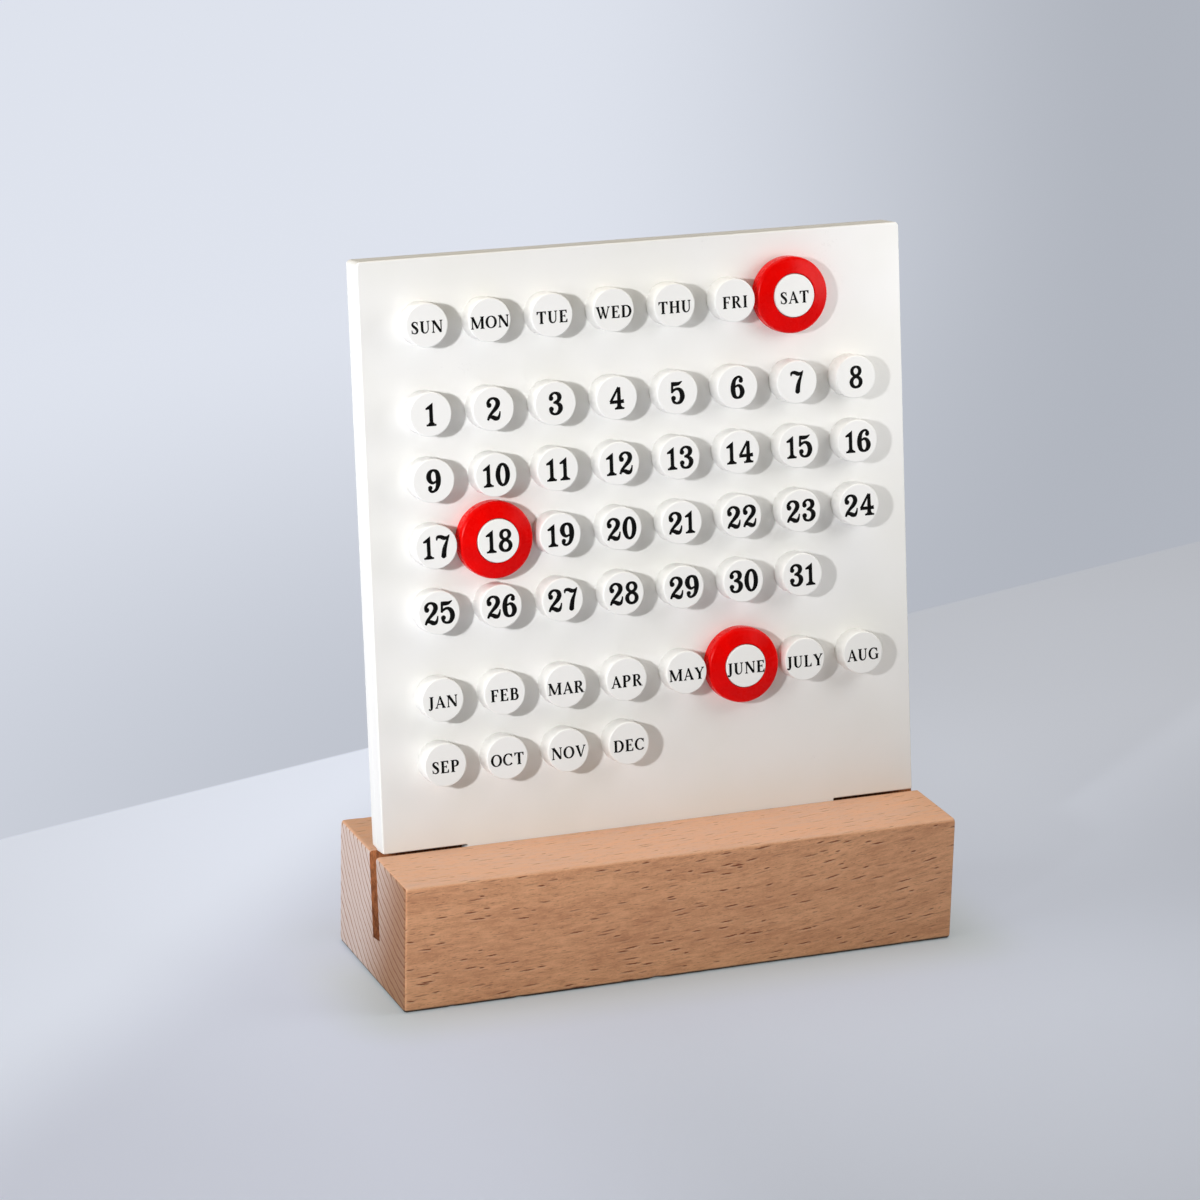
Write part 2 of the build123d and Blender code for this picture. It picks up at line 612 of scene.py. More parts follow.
@dataclass(frozen=True)
class TableFinish:
    """Pale table top with a painted glow of its own, that turns into a self-lit backdrop beyond a line
    behind the object.
    """

    block_half: Point
    top: Colour = srgb(184, 190, 201)
    near_glow: Colour = srgb(112, 118, 131)
    front_glow: Colour = srgb(137, 142, 158)
    left_glow: Colour = srgb(165, 171, 184)
    right_glow: Colour = srgb(92, 98, 113)
    back_glow: Colour = srgb(133, 138, 149)
    far_left: Colour = srgb(220, 225, 236)
    far_right: Colour = srgb(173, 178, 188)
    far_low: Colour = srgb(184, 189, 200)
    close_by: Colour = srgb(232, 236, 214)  # painted shadow: what the glow keeps right beside the block
    far_ground: Colour = srgb(30, 31, 33)  # what the backdrop takes of the lamps' light
    line_through: Point = (0.0, 164.4)
    line_turn: float = 17.06  # degrees that the line turns from the block's length
    line_soft: float = 0.8
    fan_from: Point = (-415.0, -986.0)  # where the backdrop's fading to the right fans out from
    fan_fade: Point = (0.38, 0.56)
    low_fade: Point = (-60.0, 420.0)  # behind the line
    near_fade: Point = (-110.0, -10.0)  # in x
    right_fade: Point = (90.0, 230.0)  # in x
    back_fade: tuple[Point, Point] = ((40.0, 140.0), (-40.0, 130.0))  # in x and in y
    left_fade: Point = (100.0, 170.0)  # in y less x
    close_fade: Point = (2.0, 24.0)  # of the painted shadow, away from the block

    def material(self) -> bpy.types.Material:
        """Makes the finish.

        Returns:
            The material.
        """
        s = Shader("table")
        x, y, _ = s.split(s.place)
        turn = math.radians(self.line_turn)
        along, across = x - self.line_through[0], y - self.line_through[1]
        behind = across * math.cos(turn) - along * math.sin(turn)
        beyond = behind.ramp(-self.line_soft, self.line_soft)
        glow = s.mix(beyond, self._near(s, x, y), self._far(s, x, y, behind))
        return s.finish(
            Base_Color=s.mix(beyond, self.top, self.far_ground),
            Roughness=0.8,
            Emission_Color=glow,
            Emission_Strength=1.0,
        )

    def _far(self, s: Shader, x: Socket, y: Socket, behind: Socket) -> Socket:
        """Colours the backdrop, which darkens to the right and near the line.

        Args:
            s: The shader.
            x: Place to the right.
            y: Place to the back.
            behind: How far behind the line a place lies.

        Returns:
            The backdrop's glow.
        """
        fan = (x - self.fan_from[0]) / (y - self.fan_from[1])
        low = behind.fall(*self.low_fade) * fan.ramp(0.2, 0.36, 0.6, 1.0)
        return s.mix(fan.ramp(*self.fan_fade), s.mix(low, self.far_left, self.far_low), self.far_right)

    def _near(self, s: Shader, x: Socket, y: Socket) -> Socket:
        """Colours the table top, with a painted shadow close round the block.

        Args:
            s: The shader.
            x: Place to the right.
            y: Place to the back.

        Returns:
            The table's glow.
        """
        near = s.mix(x.ramp(*self.near_fade), self.front_glow, self.near_glow)
        near = s.mix(x.ramp(*self.right_fade), near, self.right_glow)
        back_x, back_y = self.back_fade
        near = s.mix(x.ramp(*back_x) * y.ramp(*back_y), near, self.back_glow)
        near = s.mix((y - x).ramp(*self.left_fade), near, self.left_glow)
        cloud = s.noise(s.place, scale=0.004)
        near = s.mix(cloud.ramp(0.3, 0.7) * 0.1, near, self.left_glow)
        half_x, half_y = self.block_half
        off = s.length((abs(x) - half_x).most(0.0), (abs(y) - half_y).most(0.0))
        # Painted shadow: the glow is darkened close round the block, less so behind it.
        close = off.fall(*self.close_fade) * y.ramp(-5.0, 22.0, 1.0, 0.25)
        return s.mix(close, near, self.close_by, "MULTIPLY")


# ---------------------------------------------------------------------------------------- frames


@dataclass(frozen=True)
class Lean:
    """The panel's frame, in millimetres: x to the right, y up the lean, z out of its face."""

    up: Vector
    out: Vector
    origin: Vector

    @classmethod
    def of(cls, frame: Mapping[str, Any], block: str, sheet: str) -> "Lean":
        """Reads the lean from the joints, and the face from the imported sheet.

        Args:
            block: Name of the block's node, whose top gives the height of the origin.
            sheet: Name of the front sheet's node, whose face gives the frame's plane.

        Returns:
            The frame.
        """
        axes = {joint["name"]: Vector(joint["axis"]).normalized() for joint in frame["joints"]}
        up, out = axes["panel_lift"], axes["day_ring_slide"]
        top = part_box(block)[1].z * PER_METRE
        mesh = frame["nodes"][sheet].data
        face = max(vertex.co.dot(out) for vertex in mesh.vertices) * PER_METRE
        return cls(up, out, Vector((0.0, (face - top * out.z) / out.y, top)))

    def matrix(self) -> Matrix:
        """Gives the matrix from this frame to the world, in metres."""
        turn = Matrix((Vector((1.0, 0.0, 0.0)), self.up, self.out)).transposed()
        return Matrix.Scale(MM, 4) @ Matrix.Translation(self.origin) @ turn.to_4x4()

    def extent(self, node: bpy.types.Object) -> tuple[Vector, Vector]:
        """Measures a node in this frame.

        Args:
            node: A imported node.

        Returns:
            Its lowest and its highest corner.
        """
        back = self.matrix().inverted()
        places = [back @ vertex.co for vertex in node.data.vertices]
        lowest = Vector(min(place[axis] for place in places) for axis in range(3))
        highest = Vector(max(place[axis] for place in places) for axis in range(3))
        return lowest, highest


EVENING = 80  # how strongly large faces pull the shading at their edges


def add_object(name: str, data: Any) -> bpy.types.Object:
    """Adds an object to the scene."""
    made = bpy.data.objects.new(name, data)
    bpy.context.scene.collection.objects.link(made)
    return made


def into_mesh(build: bmesh.types.BMesh, name: str) -> bpy.types.Mesh:
    """Turns what was built into a mesh with its faces in a fixed order, and frees it.

    Args:
        build: The mesh being built.
        name: Its name.

    Returns:
        The mesh.
    """
    # Extruding leaves the faces in an order that can change from run to run.
    build.verts.index_update()
    ordered = sorted(build.faces, key=lambda face: [vertex.index for vertex in face.verts])
    for rank, face in enumerate(ordered):
        face.index = rank
    build.faces.sort()
    mesh = bpy.data.meshes.new(name)
    build.to_mesh(mesh)
    build.free()
    return mesh


def add_piece(
    name: str, mesh: bpy.types.Mesh, body: str, nodes: Sequence[str]
) -> bpy.types.Object:
    """Adds a finished mesh to the scene as a piece of the object.

    Args:
        name: The piece's name.
        mesh: Its mesh, in metres and in place.
        body: The body that it rides on.
        nodes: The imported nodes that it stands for.

    Returns:
        The piece.
    """
    for polygon in mesh.polygons:
        polygon.use_smooth = True
    piece = add_object(name, mesh)
    evener = piece.modifiers.new("even shading", "WEIGHTED_NORMAL")
    evener.keep_sharp = True
    evener.weight = EVENING
    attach(piece, body)
    if nodes:
        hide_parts(*nodes)
    log.info("%s: %d faces on %s", name, len(mesh.polygons), body)
    return piece


# ----------------------------------------------------------------------------------------- block


@dataclass
class BeechBlock:
    """The block that carries the panel, with its leaning slot and hand-eased arrises."""

    lean: Lean
    sheet: bpy.types.Object  # the front sheet's node, whose tongue stands in the slot
    finish: BeechFinish = field(default_factory=BeechFinish)
    slot_clearance: float = 0.1  # on each side of the tongue
    foot_gap: float = 0.05  # under the tongue
    ease: float = 0.85
    ease_play: float = 0.3  # how far the ease wanders along an arris
    ease_waves: Point = (0.045, 0.35)  # its slow and its quick waves in a millimetre
    end_ease: float = 0.9
    nick_count: int = 26
    nick_depth: float = 0.5
    nick_share: Point = (0.2, 1.0)  # the shallowest and the deepest, against the depth
    nick_width: Point = (0.4, 1.6)
    station: float = 0.6  # length of the faces along the block
    arc_steps: int = 6
    end_steps: int = 5
    sharp_turn: float = 35.0  # degrees between two faces, past which their edge is kept sharp
    seed: int = 11

    def __post_init__(self) -> None:
        """Reads the sizes of the block and its slot from the frame, and scatters the nicks."""
        far_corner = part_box("wood_base")[1]
        self.half_length, self.half_depth, self.height = (side * PER_METRE for side in far_corner)
        low, high = self.lean.extent(self.sheet)
        self.slot_width = high.z - low.z + 2 * self.slot_clearance
        self.slot_depth = self.foot_gap - low.y
        dice = random.Random(self.seed)
        reach = self.half_length - 2 * self.end_ease
        self.nicks = []
        for _ in range(self.nick_count):
            place, arris = dice.uniform(-reach, reach), dice.randrange(4)
            depth, width = dice.uniform(*self.nick_share), dice.uniform(*self.nick_width)
            self.nicks.append((place, arris, self.nick_depth * depth, width))

    def _ease_at(self, x: float, arris: int) -> float:
        """Gives an arris's radius at a place along the block.

        Args:
            x: Place along the block.
            arris: Number of the arris, from the top front one round.

        Returns:
            The radius.
        """
        slow, quick = self.ease_waves
        wander = noise.noise(Vector((x * slow, 7.3 * arris, 0.0)))
        wander += 0.5 * noise.noise(Vector((x * quick, 3.1 * arris, 5.0)))
        nicked = sum(
            depth * math.exp(-(((x - place) / width) ** 2))
            for place, where, depth, width in self.nicks
            if where == arris
        )
        return self.ease + self.ease_play * wander + nicked

    def _section(self, x: float, inset: float) -> tuple[list[Point], list[float], list[bool]]:
        """Draws the block's outline across its length.

        Args:
            x: Place along the block.
            inset: How far the outline is drawn in, where an end is eased.

        Returns:
            The outline's points in y and z, how worn each is, and whether the side that starts at
            it is a wall of the slot.
        """
        half, bottom, top = self.half_depth - inset, inset, self.height - inset
        corners = [(-half, top, 90, 0), (-half, bottom, 180, 1), (half, bottom, 270, 2), (half, top, 0, 3)]
        points: list[Point] = []
        worn: list[float] = []
        for corner_y, corner_z, start, arris in corners:
            ease = self._ease_at(x, arris)
            centre_y = corner_y + math.copysign(ease, -corner_y)
            centre_z = corner_z + (ease if corner_z == bottom else -ease)
            for step in range(self.arc_steps + 1):
                share = step / self.arc_steps
                turn = math.radians(start + 90 * share)
                points.append((centre_y + ease * math.cos(turn), centre_z + ease * math.sin(turn)))
                worn.append(math.sin(math.pi * share))
        mouth = self._slot_points(top)
        walls = [False] * len(points) + [True] * (len(mouth) - 1) + [False]
        return points + mouth, worn + [0.0] * len(mouth), walls

    def _slot_points(self, top: float) -> list[Point]:
        """Draws the slot's outline.

        Args:
            top: Height of the outline's top.

        Returns:
            Its corners in y and z, from the back of its mouth down and up to the front.
        """
        up, out, origin = self.lean.up, self.lean.out, self.lean.origin

        def at(height: float, off: float) -> Point:
            """Gives a place so far up the lean and so far out of the panel's face."""
            place = origin + up * height + out * off
            return place.y, place.z

        def mouth(off: float) -> Point:
            """Gives the place where a wall meets the block's top."""
            return at((top - origin.z - out.z * off) / up.z, off)

        front, back = self.slot_clearance, self.slot_clearance - self.slot_width
        return [mouth(back), at(-self.slot_depth, back), at(-self.slot_depth, front), mouth(front)]

    def _stations(self) -> list[tuple[float, float]]:
        """Sets out the places along the block where its outline is drawn.

        Returns:
            Each place, with how far the outline is drawn in there.
        """
        # From the start of an end's rounding, where nothing is drawn in, out to the end's face.
        ends = []
        for step in range(self.end_steps + 1):
            turn = math.pi / 2 * step / self.end_steps
            ends.append((self.end_ease * (1 - math.sin(turn)), self.end_ease * (1 - math.cos(turn))))
        straight = self.half_length - self.end_ease
        count = round(2 * straight / self.station)
        middle = [(-straight + 2 * straight * k / count, 0.0) for k in range(1, count)]
        out_left = [(-self.half_length + away, inset) for away, inset in reversed(ends)]
        out_right = [(self.half_length - away, inset) for away, inset in ends]
        return out_left + middle + out_right

    def mesh(self) -> bpy.types.Mesh:
        """Builds the block's mesh.

        Returns:
            The mesh in metres, with the slot's walls in its second material.
        """
        build = bmesh.new()
        wear = build.verts.layers.float.new("wear")
        rows = []
        for x, inset in self._stations():
            outline, worn, walls = self._section(x, inset)
            row = []
            for (y, z), share in zip(outline, worn):
                vertex = build.verts.new(Vector((x, y, z)) * MM)
                vertex[wear] = share
                row.append(vertex)
            rows.append(row)
        count = len(walls)
        for left, right in zip(rows, rows[1:]):
            for k in range(count):
                after = (k + 1) % count
                face = build.faces.new((left[k], left[after], right[after], right[k]))
                face.material_index = int(walls[k])
        build.faces.new(rows[0])
        build.faces.new(reversed(rows[-1]))
        bmesh.ops.recalc_face_normals(build, faces=build.faces)
        for edge in build.edges:
            edge.smooth = edge.calc_face_angle() <= math.radians(self.sharp_turn)
        return into_mesh(build, "beech_block")

    def build(self) -> None:
        """Adds the block."""
        mesh = self.mesh()
        for cut in Wood:
            mesh.materials.append(self.finish.material(cut))
        add_piece("beech_block", mesh, "base", ["wood_base"])


# ----------------------------------------------------------------------------------------- panel


@dataclass(frozen=True)
class Corner:
    """A corner of an outline, and the radius that rounds it."""

    x: float
    y: float
    radius: float

    def arc(self, before: "Corner", after: "Corner", steps: int = 10) -> list[Point]:
        """Rounds the corner.

        Args:
            before: The corner before it.
            after: The corner after it.
            steps: Sides of the arc.

        Returns:
            The arc's points.
        """
        here = Vector((self.x, self.y))
        inward = (Vector((before.x, before.y)) - here).normalized()
        onward = (Vector((after.x, after.y)) - here).normalized()
        half = inward.angle(onward) / 2
        centre = here + (inward + onward).normalized() * (self.radius / math.sin(half))
        start = here + inward * (self.radius / math.tan(half)) - centre
        end = here + onward * (self.radius / math.tan(half)) - centre
        sweep = start.angle_signed(end)
        turned = [Matrix.Rotation(-sweep * k / steps, 2) @ start + centre for k in range(steps + 1)]
        return [(point.x, point.y) for point in turned]


@dataclass
class Sheet:
    """A sheet of the panel, with its edges polished round."""

    name: str
    node: str
    corners: Sequence[Corner]
    back: float
    front: float
    front_ease: float
    back_ease: float
    foot_slope: float = 0.0  # how far the foot drops towards the front, to lie along the block's top
    front_steps: int = 4
    back_steps: int = 3
    on_level: float = 1e-5  # how near a face's level its rim lies

    def build(self, lean: Lean, material: bpy.types.Material) -> None:
        """Adds the sheet.

        Args:
            lean: The panel's frame.
            material: Its finish.
        """
        outline: list[Point] = []
        for k, corner in enumerate(self.corners):
            outline += corner.arc(self.corners[k - 1], self.corners[(k + 1) % len(self.corners)])
        build = bmesh.new()
        ring = [build.verts.new((x, y, self.back)) for x, y in outline]
        back = build.faces.new(reversed(ring))
        made = bmesh.ops.extrude_face_region(build, geom=[back], use_keep_orig=True)
        raised = [item for item in made["geom"] if isinstance(item, bmesh.types.BMVert)]
        bmesh.ops.translate(build, verts=raised, vec=(0, 0, self.front - self.back))
        middle = sum(y for _, y in outline) / len(outline)
        for vertex in build.verts:
            if vertex.co.y < middle:
                vertex.co.y -= self.foot_slope * (vertex.co.z - self.back)
        bmesh.ops.recalc_face_normals(build, faces=build.faces)
        self._ease(build, self.front, self.front_ease, self.front_steps)
        self._ease(build, self.back, self.back_ease, self.back_steps)
        build.transform(lean.matrix())
        mesh = into_mesh(build, self.name)
        mesh.materials.append(material)
        add_piece(self.name, mesh, "panel", [self.node])

    def _ease(self, build: bmesh.types.BMesh, level: float, radius: float, steps: int) -> None:
        """Rounds the rim of one of the sheet's two faces.

        Args:
            build: The mesh being built.
            level: The face's level.
            radius: The round's radius.
            steps: Faces across the round.
        """
        rim = [e for e in build.edges if all(abs(v.co.z - level) < self.on_level for v in e.verts)]
        bmesh.ops.bevel(
            build,
            geom=rim,
            offset=radius,
            segments=steps,
            profile=0.5,
            affect="EDGES",
            clamp_overlap=True,
        )


@dataclass
class Panel:
    """Two white sheets glued together, the front one with the tongue that stands in the slot."""

    lean: Lean
    nodes: Mapping[str, bpy.types.Object]
    shoulder: float = 0.5  # height of the shoulders above the block
    tongue_half: float = 50.5
    corner: float = 1.2
    foot_corner: float = 0.5
    tongue_corner: float = 2.0
    relief: float = 0.4
    face_ease: float = 0.45
    seam_ease: float = 0.14
    finish: AcrylicFinish = AcrylicFinish("white sheet", srgb(245, 245, 243), srgb(242, 242, 238), 0.32)

    def build(self) -> None:
        """Adds both sheets."""
        material = self.finish.material()
        low, high = self.lean.extent(self.nodes["front_panel"])
        half, top, foot = high.x, high.y, low.y
        shoulders = [
            Corner(-half, top, self.corner),
            Corner(-half, self.shoulder, self.foot_corner),
            Corner(-self.tongue_half, self.shoulder, self.relief),
            Corner(-self.tongue_half, foot, self.tongue_corner),
            Corner(self.tongue_half, foot, self.tongue_corner),
            Corner(self.tongue_half, self.shoulder, self.relief),
            Corner(half, self.shoulder, self.foot_corner),
            Corner(half, top, self.corner),
        ]
        front = Sheet("front_sheet", "front_panel", shoulders, low.z, 0.0, self.face_ease, self.seam_ease)
        front.build(self.lean, material)

        low, high = self.lean.extent(self.nodes["back_panel"])
        plain = [
            Corner(-half, top, self.corner),
            Corner(-half, low.y, self.foot_corner),
            Corner(half, low.y, self.foot_corner),
            Corner(half, top, self.corner),
        ]
        slope = self.lean.out.z / self.lean.up.z
        back = Sheet(
            "back_sheet", "back_panel", plain, low.z, high.z, self.seam_ease, self.face_ease, slope
        )
        back.build(self.lean, material)


# ---------------------------------------------------------------------------- pegs and rings


class TurnedPieces(Graph):
    """Geometry nodes that turn a section about an axis and set a copy on each point."""

    weld = 1e-4  # how close two corners lie to be one, in millimetres
    inputs = (
        ("Bore Radius", "NodeSocketFloat"),
        ("Outer Radius", "NodeSocketFloat"),
        ("Height", "NodeSocketFloat"),
        ("Tip Ease", "NodeSocketFloat"),
        ("Foot Ease", "NodeSocketFloat"),
        ("Bore Ease", "NodeSocketFloat"),
        ("Crown", "NodeSocketFloat"),
        ("Sides", "NodeSocketInt"),
        ("Ease Steps", "NodeSocketInt"),
        ("Material", "NodeSocketMaterial"),
    )

    def __init__(self) -> None:
        """Builds the tree."""
        super().__init__(bpy.data.node_groups.new("turned pieces", "GeometryNodeTree"))
        face = self.tree.interface
        face.new_socket(name="Points", in_out="INPUT", socket_type="NodeSocketGeometry")
        self.keys = {
            name: face.new_socket(name=name, in_out="INPUT", socket_type=kind).identifier
            for name, kind in self.inputs
        }
        face.new_socket(name="Pieces", in_out="OUTPUT", socket_type="NodeSocketGeometry")
        given = self.node("NodeGroupInput")
        self._fill({socket.name: Socket(self, socket) for socket in given.outputs if socket.name})

    def _fill(self, given: Mapping[str, Socket]) -> None:
        """Adds the nodes between the tree's inputs and its output.

        Args:
            given: The tree's inputs by name.
        """
        # The rim lies at x = 0 and the foot at y = 0, with the bore and the tip on their minus side.
        wall = given["Bore Radius"] - given["Outer Radius"]
        tip = given["Height"] * -1.0
        corners = {
            "Point 1": self.combine(wall, tip),
            "Point 2": self.combine(0.0, tip + given["Crown"]),
            "Point 3": (0.0, 0.0, 0.0),
            "Point 4": self.combine(wall, 0.0),
        }
        section = self.node("GeometryNodeCurvePrimitiveQuadrilateral", {"mode": "POINTS"}, corners)
        number = self.out(self.node("GeometryNodeInputIndex"))
        at_tip = 1 - abs(number - 1).least(1.0)
        at_foot = 1 - abs(number - 2).least(1.0)
        at_bore = 1 - at_tip - at_foot
        ease = at_tip * given["Tip Ease"] + at_foot * given["Foot Ease"] + at_bore * given["Bore Ease"]
        rounded = self.node(
            "GeometryNodeFilletCurve",
            {"mode": "POLY"},
            {"Curve": self.out(section), "Count": given["Ease Steps"], "Radius": ease},
        )
        path = self.node(
            "GeometryNodeCurvePrimitiveCircle",
            {"mode": "RADIUS"},
            {"Resolution": given["Sides"], "Radius": given["Outer Radius"]},
        )
        sweep = {"Curve": self.out(path), "Profile Curve": self.out(rounded)}
        swept = self.out(self.node("GeometryNodeCurveToMesh", {}, sweep))
        closing = {"Geometry": swept, "Distance": self.weld}
        closed = self.out(self.node("GeometryNodeMergeByDistance", {}, closing))
        setting = {"Points": given["Points"], "Instance": closed}
        copies = self.out(self.node("GeometryNodeInstanceOnPoints", {}, setting))
        real = self.out(self.node("GeometryNodeRealizeInstances", {}, {"Geometry": copies}))
        dressing = {"Geometry": real, "Material": given["Material"]}
        dressed = self.out(self.node("GeometryNodeSetMaterial", {}, dressing))
        self.node("NodeGroupOutput", {}, {"Pieces": dressed})

    def make(self, name: str, points: Sequence[Vector], lean: Lean, **sizes: Any) -> bpy.types.Mesh:
        """Turns the pieces and sets them in place.

        Args:
            name: The mesh's name.
            points: Where each foot's centre stands, in the panel's frame.
            lean: The panel's frame.
            sizes: The tree's inputs, with _ for the spaces in their names; a size left out is 0.

        Returns:
            One mesh, in metres and in place.
        """
        seeds = bpy.data.meshes.new(f"{name} points")
        seeds.from_pydata([tuple(point) for point in points], [], [])
        holder = add_object(f"{name} holder", seeds)
        modifier = holder.modifiers.new("turned", "NODES")
        modifier.node_group = self.tree
        for key, value in sizes.items():
            modifier[self.keys[key.replace("_", " ")]] = value
        evaluated = holder.evaluated_get(bpy.context.evaluated_depsgraph_get())
        mesh = bpy.data.meshes.new_from_object(evaluated)
        mesh.name = name
        bpy.data.objects.remove(holder)
        bpy.data.meshes.remove(seeds)
        mesh.transform(lean.matrix())
        return mesh


@dataclass
class PegField:
    """The fifty pegs, all alike."""

    lean: Lean
    nodes: Mapping[str, bpy.types.Object]
    tree: TurnedPieces
    tip_ease: float = 0.3
    seat: float = 0.05  # how far a foot is let into the panel
    sides: int = 64
    ease_steps: int = 4
    finish: AcrylicFinish = AcrylicFinish("white peg", srgb(249, 249, 247), srgb(246, 246, 243), 0.38)

    def __post_init__(self) -> None:
        """Reads where the pegs stand and how large they are."""
        self.names = sorted(name for name in self.nodes if name.startswith("peg_"))
        extents = {name: self.lean.extent(self.nodes[name]) for name in self.names}
        self.centres = {name: (low + high) / 2 for name, (low, high) in extents.items()}
        low, high = extents[self.names[0]]
        self.radius = (high.x - low.x) / 2
        self.height = high.z

    def build(self) -> None:
        """Adds the pegs."""
        feet = [Vector((c.x, c.y, -self.seat)) for c in (self.centres[name] for name in self.names)]
        mesh = self.tree.make(
            "pegs",
            feet,
            self.lean,
            Outer_Radius=self.radius,
            Height=self.height + self.seat,
            Tip_Ease=self.tip_ease,
            Sides=self.sides,
            Ease_Steps=self.ease_steps,
            Material=self.finish.material(),
        )
        add_piece("pegs", mesh, "panel", self.names)


@dataclass
class MarkerRing:
    """A red ring that hangs on one peg."""

    name: str
    node: bpy.types.Object
    body: str
    peg: Vector
    peg_radius: float
    fit: float = 0.15
    tip_ease: float = 1.1
    foot_ease: float = 0.7
    bore_ease: float = 0.2
    crown: float = 1.3  # how far the front face falls from the bore to the rim
    sides: int = 128
    ease_steps: int = 7

    def build(self, lean: Lean, tree: TurnedPieces, material: bpy.types.Material) -> None:
        """Adds the ring.

        Args:
            lean: The panel's frame.
            tree: The nodes that turn it.
            material: Its finish.
        """
        low, high = lean.extent(self.node)
        foot = Vector((self.peg.x, self.peg.y, low.z))
        mesh = tree.make(
            self.name,
            [foot],
            lean,
            Bore_Radius=self.peg_radius + self.fit,
            Outer_Radius=(high.y - low.y) / 2,
            Height=high.z - low.z,
            Tip_Ease=self.tip_ease,
            Foot_Ease=self.foot_ease,
            Bore_Ease=self.bore_ease,
            Crown=self.crown,
            Sides=self.sides,
            Ease_Steps=self.ease_steps,
            Material=material,
        )
        add_piece(self.name, mesh, self.body, [self.node.name])


# -------------------------------------------------------------------------------------- lettering


@dataclass(frozen=True)
class Stroke:
    """A pen stroke through places in x and y, each with the pen's width there, all in heights."""

    points: tuple[Place, ...]
    curved: bool = True
    closed: bool = False
    steps: int = 5  # from place to place, where it is curved

    def _samples(self) -> list[Vector]:
        """Follows the stroke.

        Returns:
            Places along it in x and y, each with the pen's width as its z.
        """
        points = [Vector(point) for point in self.points]
        if not self.curved:
            return points
        last = len(points) - 1
        samples = []
        for k in range(last):
            a, b, c, d = (points[min(max(k + shift, 0), last)] for shift in (-1, 0, 1, 2))
            for step in range(self.steps):
                t = step / self.steps
                even = 2 * b + (c - a) * t + (2 * a - 5 * b + 4 * c - d) * t**2
                samples.append((even + (3 * b - a - 3 * c + d) * t**3) / 2)
        samples.append(points[-1])
        return samples

    def patches(self, weight: float) -> list[list[Point]]:
        """Inks the stroke.

        Args:
            weight: How many times as wide as drawn the pen is.

        Returns:
            The corners of a chain of four-sided patches.
        """
        samples = self._samples()
        last = len(samples) - 1
        sides = []
        for k, here in enumerate(samples):
            before = samples[last - 1] if self.closed and k == 0 else samples[max(k - 1, 0)]
            after = samples[1] if self.closed and k == last else samples[min(k + 1, last)]
            way = (after.xy - before.xy).normalized()
            side = Vector((-way.y, way.x)) * here.z * weight / 2
            sides.append((here.xy + side, here.xy - side))
        return [[a, b, d, c] for (a, b), (c, d) in zip(sides, sides[1:])]


@dataclass(frozen=True)
class Bowl:
    """An arc of an oval that swells towards its sides."""

    x: float
    y: float
    half_width: float
    half_height: float
    start: float = 0.0  # degrees from the right, against the clock
    end: float = 360.0
    thick: float = 0.18
    thin: float = 0.07
    swelling: float = 1.4  # how soon the pen thins away from the sides
    steps: int = 22

    def patches(self, weight: float) -> list[list[Point]]:
        """Inks the arc.

        Args:
            weight: How many times as wide as drawn the pen is.

        Returns:
            The corners of a chain of four-sided patches.
        """
        points = []
        for k in range(self.steps + 1):
            turn = math.radians(self.start + (self.end - self.start) * k / self.steps)
            swell = self.thin + (self.thick - self.thin) * abs(math.cos(turn)) ** self.swelling
            x = self.x + self.half_width * math.cos(turn)
            points.append((x, self.y + self.half_height * math.sin(turn), swell))
        whole = abs(self.end - self.start) == 360.0
        if whole:
            points[-1] = points[0]
        return Stroke(tuple(points), curved=False, closed=whole).patches(weight)


@dataclass(frozen=True)
class Patch:
    """A plain convex patch, or a round dot where it has one corner and a radius."""

    corners: tuple[Point, ...]
    radius: float = 0.0
    sides: int = 18  # of a dot

    def patches(self, weight: float) -> list[list[Point]]:
        """Gives the patch, with a dot grown half as much as the pen.

        Args:
            weight: How many times as wide as drawn the pen is.

        Returns:
            The corners of one patch, in a list.
        """
        if not self.radius:
            return [list(self.corners)]
        x, y = self.corners[0]
        radius = self.radius * (1 + weight) / 2
        turns = [math.tau * k / self.sides for k in range(self.sides)]
        return [[(x + radius * math.cos(t), y + radius * math.sin(t)) for t in turns]]


Mark = Union[Stroke, Bowl, Patch]


@dataclass(frozen=True)
class Glyph:
    """A numeral or a capital, with its width and its marks in heights."""

    width: float
    marks: list[Mark]


class End(Enum):
    """The ends of a stem."""

    HEAD = "head"
    FOOT = "foot"


STEM = 0.18  # a capital's thick stroke, in heights
HAIR = 0.07  # its thin stroke
SERIF = 0.05
LEFT = 0.20  # middle of the stem that most capitals start with


def line(*points: Place) -> Stroke:
    """Draws straight from place to place."""
    return Stroke(points, curved=False)


def curve(*points: Place) -> Stroke:
    """Draws a smooth stroke from place to place."""
    return Stroke(points)


def hair(start: float, end: float, level: float) -> Stroke:
    """Draws a thin level line."""
    return line((start, level, HAIR), (end, level, HAIR))


def slab(left: float, right: float, outer: float, inner: float) -> Patch:
    """Draws a level bar between two heights."""
    return Patch(((left, outer), (right, outer), (right, inner), (left, inner)))


def dot(x: float, y: float, radius: float) -> Patch:
    """Draws a round dot."""
    return Patch(((x, y),), radius)


def serif(x: float, end: End, width: float = STEM, reach: float = 0.09) -> list[Mark]:
    """Draws a bracketed serif across the end of a stem.

    Args:
        x: The stem's middle.
        end: Which end of the stem it lies across.
        width: The stem's width.
        reach: How far the serif stands out on each side.

    Returns:
        Its marks.
    """
    half = width / 2 + reach
    level, inner, deep = (1.0, 1.0 - SERIF, 0.86) if end is End.HEAD else (0.0, SERIF, 0.14)
    cheek = width / 2 + reach * 0.6
    bracket = Patch(((x - cheek, inner), (x + cheek, inner), (x + width / 2, deep), (x - width / 2, deep)))
    return [slab(x - half, x + half, level, inner), bracket]


